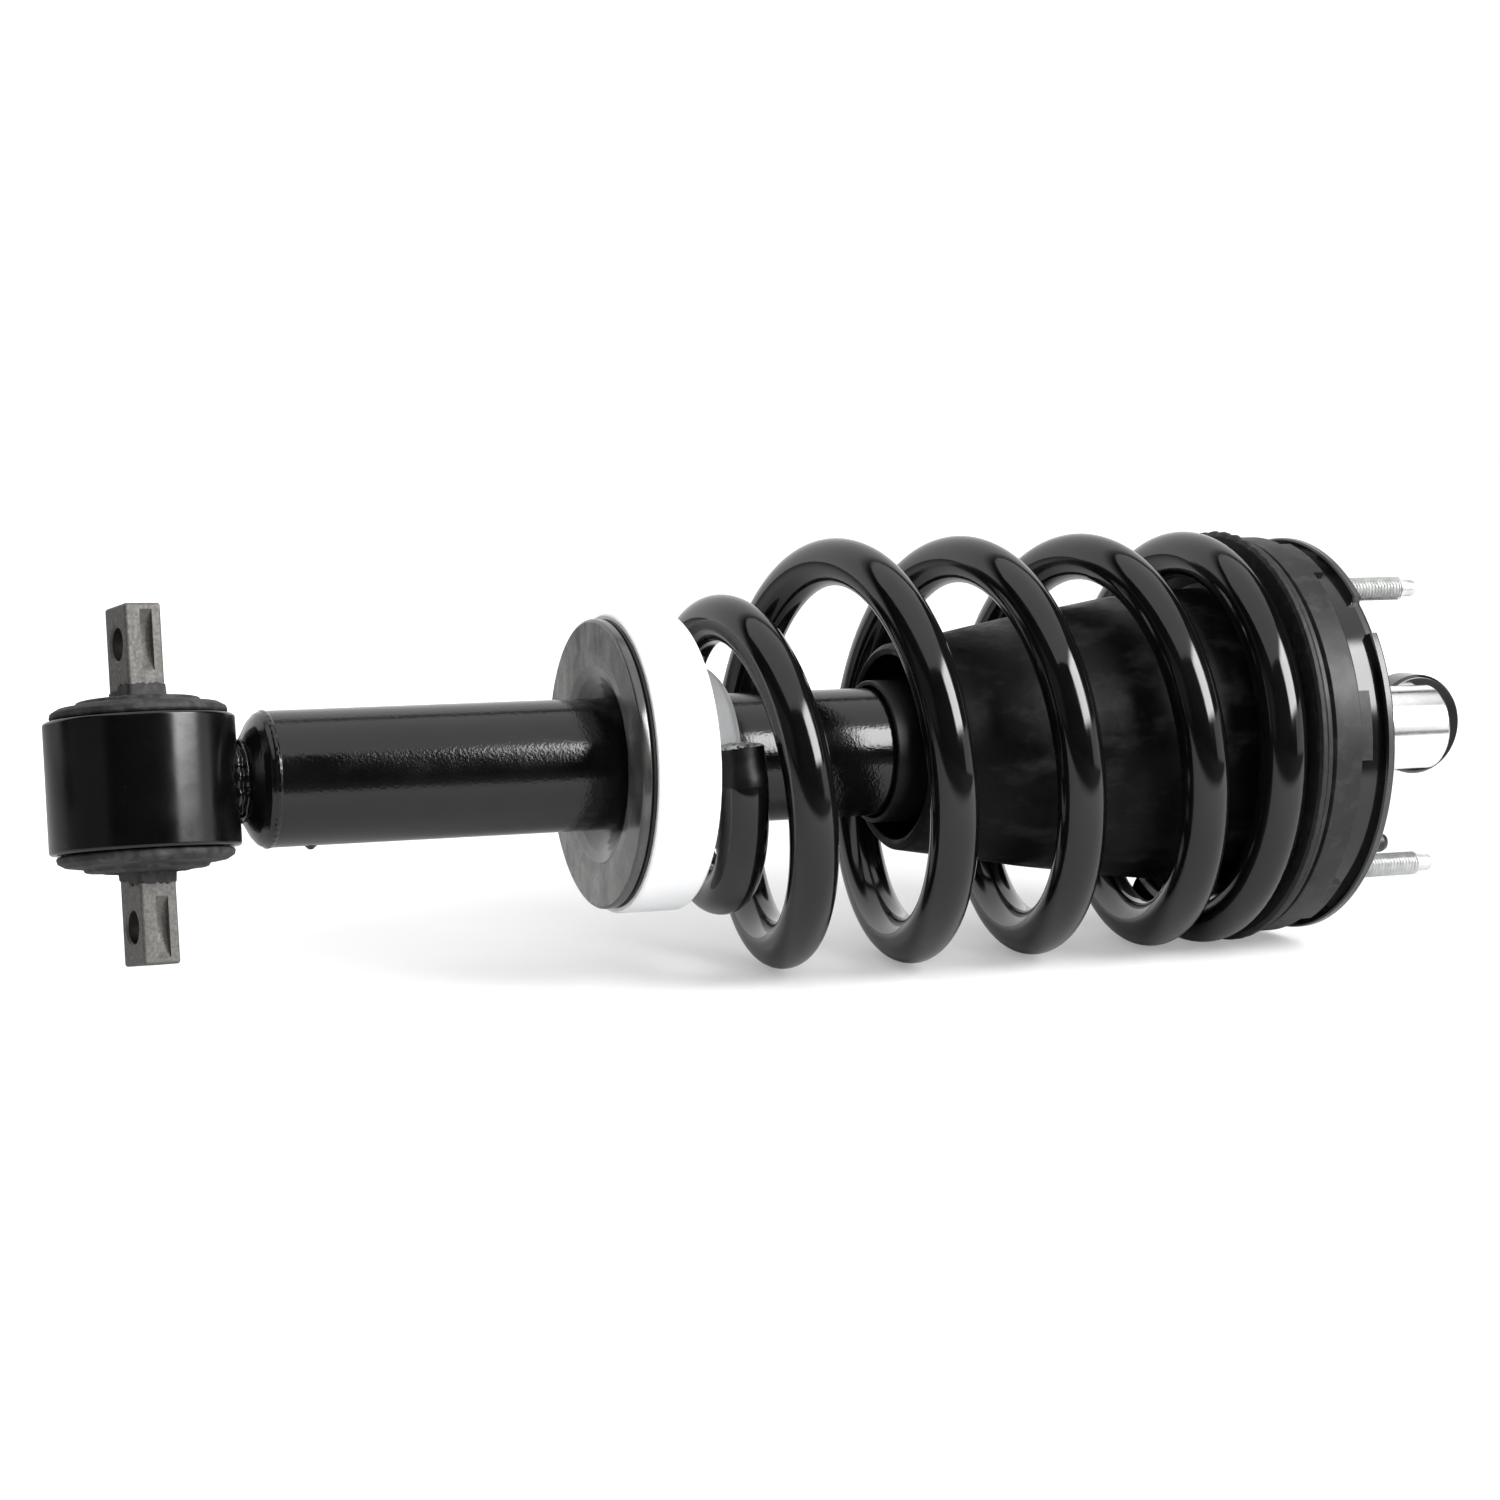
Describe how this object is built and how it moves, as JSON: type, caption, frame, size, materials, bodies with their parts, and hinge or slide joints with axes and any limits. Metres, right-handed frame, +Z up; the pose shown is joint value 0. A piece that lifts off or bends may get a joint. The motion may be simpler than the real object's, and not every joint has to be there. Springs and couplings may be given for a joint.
{
  "type": "coil-over strut assembly",
  "caption": "Coil-over suspension strut: telescopic damper with coil spring, bar-pin eye below and studded mounting plate above.",
  "frame": {"origin": "centre of the mounting plate's outer face, on the damper axis", "axes": "+X along the damper axis from the lower eye to the upper mount, +Z up as the strut lies on its spring, +Y away from the front view"},
  "size_m": [0.6218, 0.1762, 0.1762],
  "materials": {
    "gloss_black": "gloss",
    "spring_black": "gloss powder coat",
    "plate_black": "gloss",
    "satin_black": "satin",
    "plain_steel": "turned",
    "forged_steel": "bare forged steel",
    "bush_rubber": "matte",
    "valve_metal": "sintered",
    "seal_rubber": "matte",
    "hard_chrome": "polished",
    "band_plastic": "matte",
    "pad_rubber": "matte",
    "white_nylon": "smooth",
    "shield_plastic": "matte",
    "bumper_foam": "cellular",
    "boot_rubber": "dusty matte",
    "insulator_rubber": "matte",
    "zinc": "zinc plated",
    "pin_plastic": "matte",
    "mount_rubber": "matte",
    "polished_metal": "polished",
    "housing_plastic": "satin"
  },
  "bodies": {
    "mount": {"mount_plate": "plate_black", "studs": "zinc", "locating_pin": "pin_plastic", "mount_rubber": "mount_rubber", "mount_bush": "plain_steel", "rod_washer": "zinc", "rod_nut": "zinc", "terminal_sleeve": "polished_metal", "terminal_housing": "housing_plastic", "terminal_seal": "seal_rubber", "upper_seat": "satin_black", "insulator": "insulator_rubber", "dust_boot": "boot_rubber", "dust_tube": "shield_plastic", "jounce_bumper": "bumper_foam", "coil_spring": "spring_black", "piston_rod": "hard_chrome", "piston": "valve_metal", "piston_band": "band_plastic", "piston_nut": "plain_steel", "rebound_stop": "seal_rubber"},
    "slip_ring": {"slip_ring": "white_nylon"},
    "damper_body": {"damper_tube": "gloss_black", "base_cap": "gloss_black", "eye_neck": "gloss_black", "eye_sleeve": "gloss_black", "bush_shell": "plain_steel", "bush_rubber": "bush_rubber", "pressure_tube": "plain_steel", "base_valve": "valve_metal", "rod_guide": "valve_metal", "rod_seal": "seal_rubber", "tube_closure": "gloss_black", "spring_seat": "gloss_black", "seat_pad": "pad_rubber"},
    "bar_pin": {"bar_pin": "forged_steel"}
  },
  "joints": [
    {"name": "damper_stroke", "type": "slide", "parent": "mount", "child": "slip_ring", "axis": [1, 0, 0], "range_m": [0, 0.1], "stiffness_N_per_m": 80000, "springref_m": -0.04, "deforming": ["coil_spring", "dust_boot", "jounce_bumper"]},
    {"name": "body_swivel", "type": "hinge", "parent": "slip_ring", "child": "damper_body", "pos_m": [-0.3034, 0, 0], "axis": [1, 0, 0], "range_deg": [-90, 90]},
    {"name": "bar_pin_twist", "type": "hinge", "parent": "damper_body", "child": "bar_pin", "pos_m": [-0.4934, 0, 0], "axis": [0, 0.184, 0.9829], "range_deg": [-18, 18], "stiffness_Nm_per_rad": 60}
  ]
}
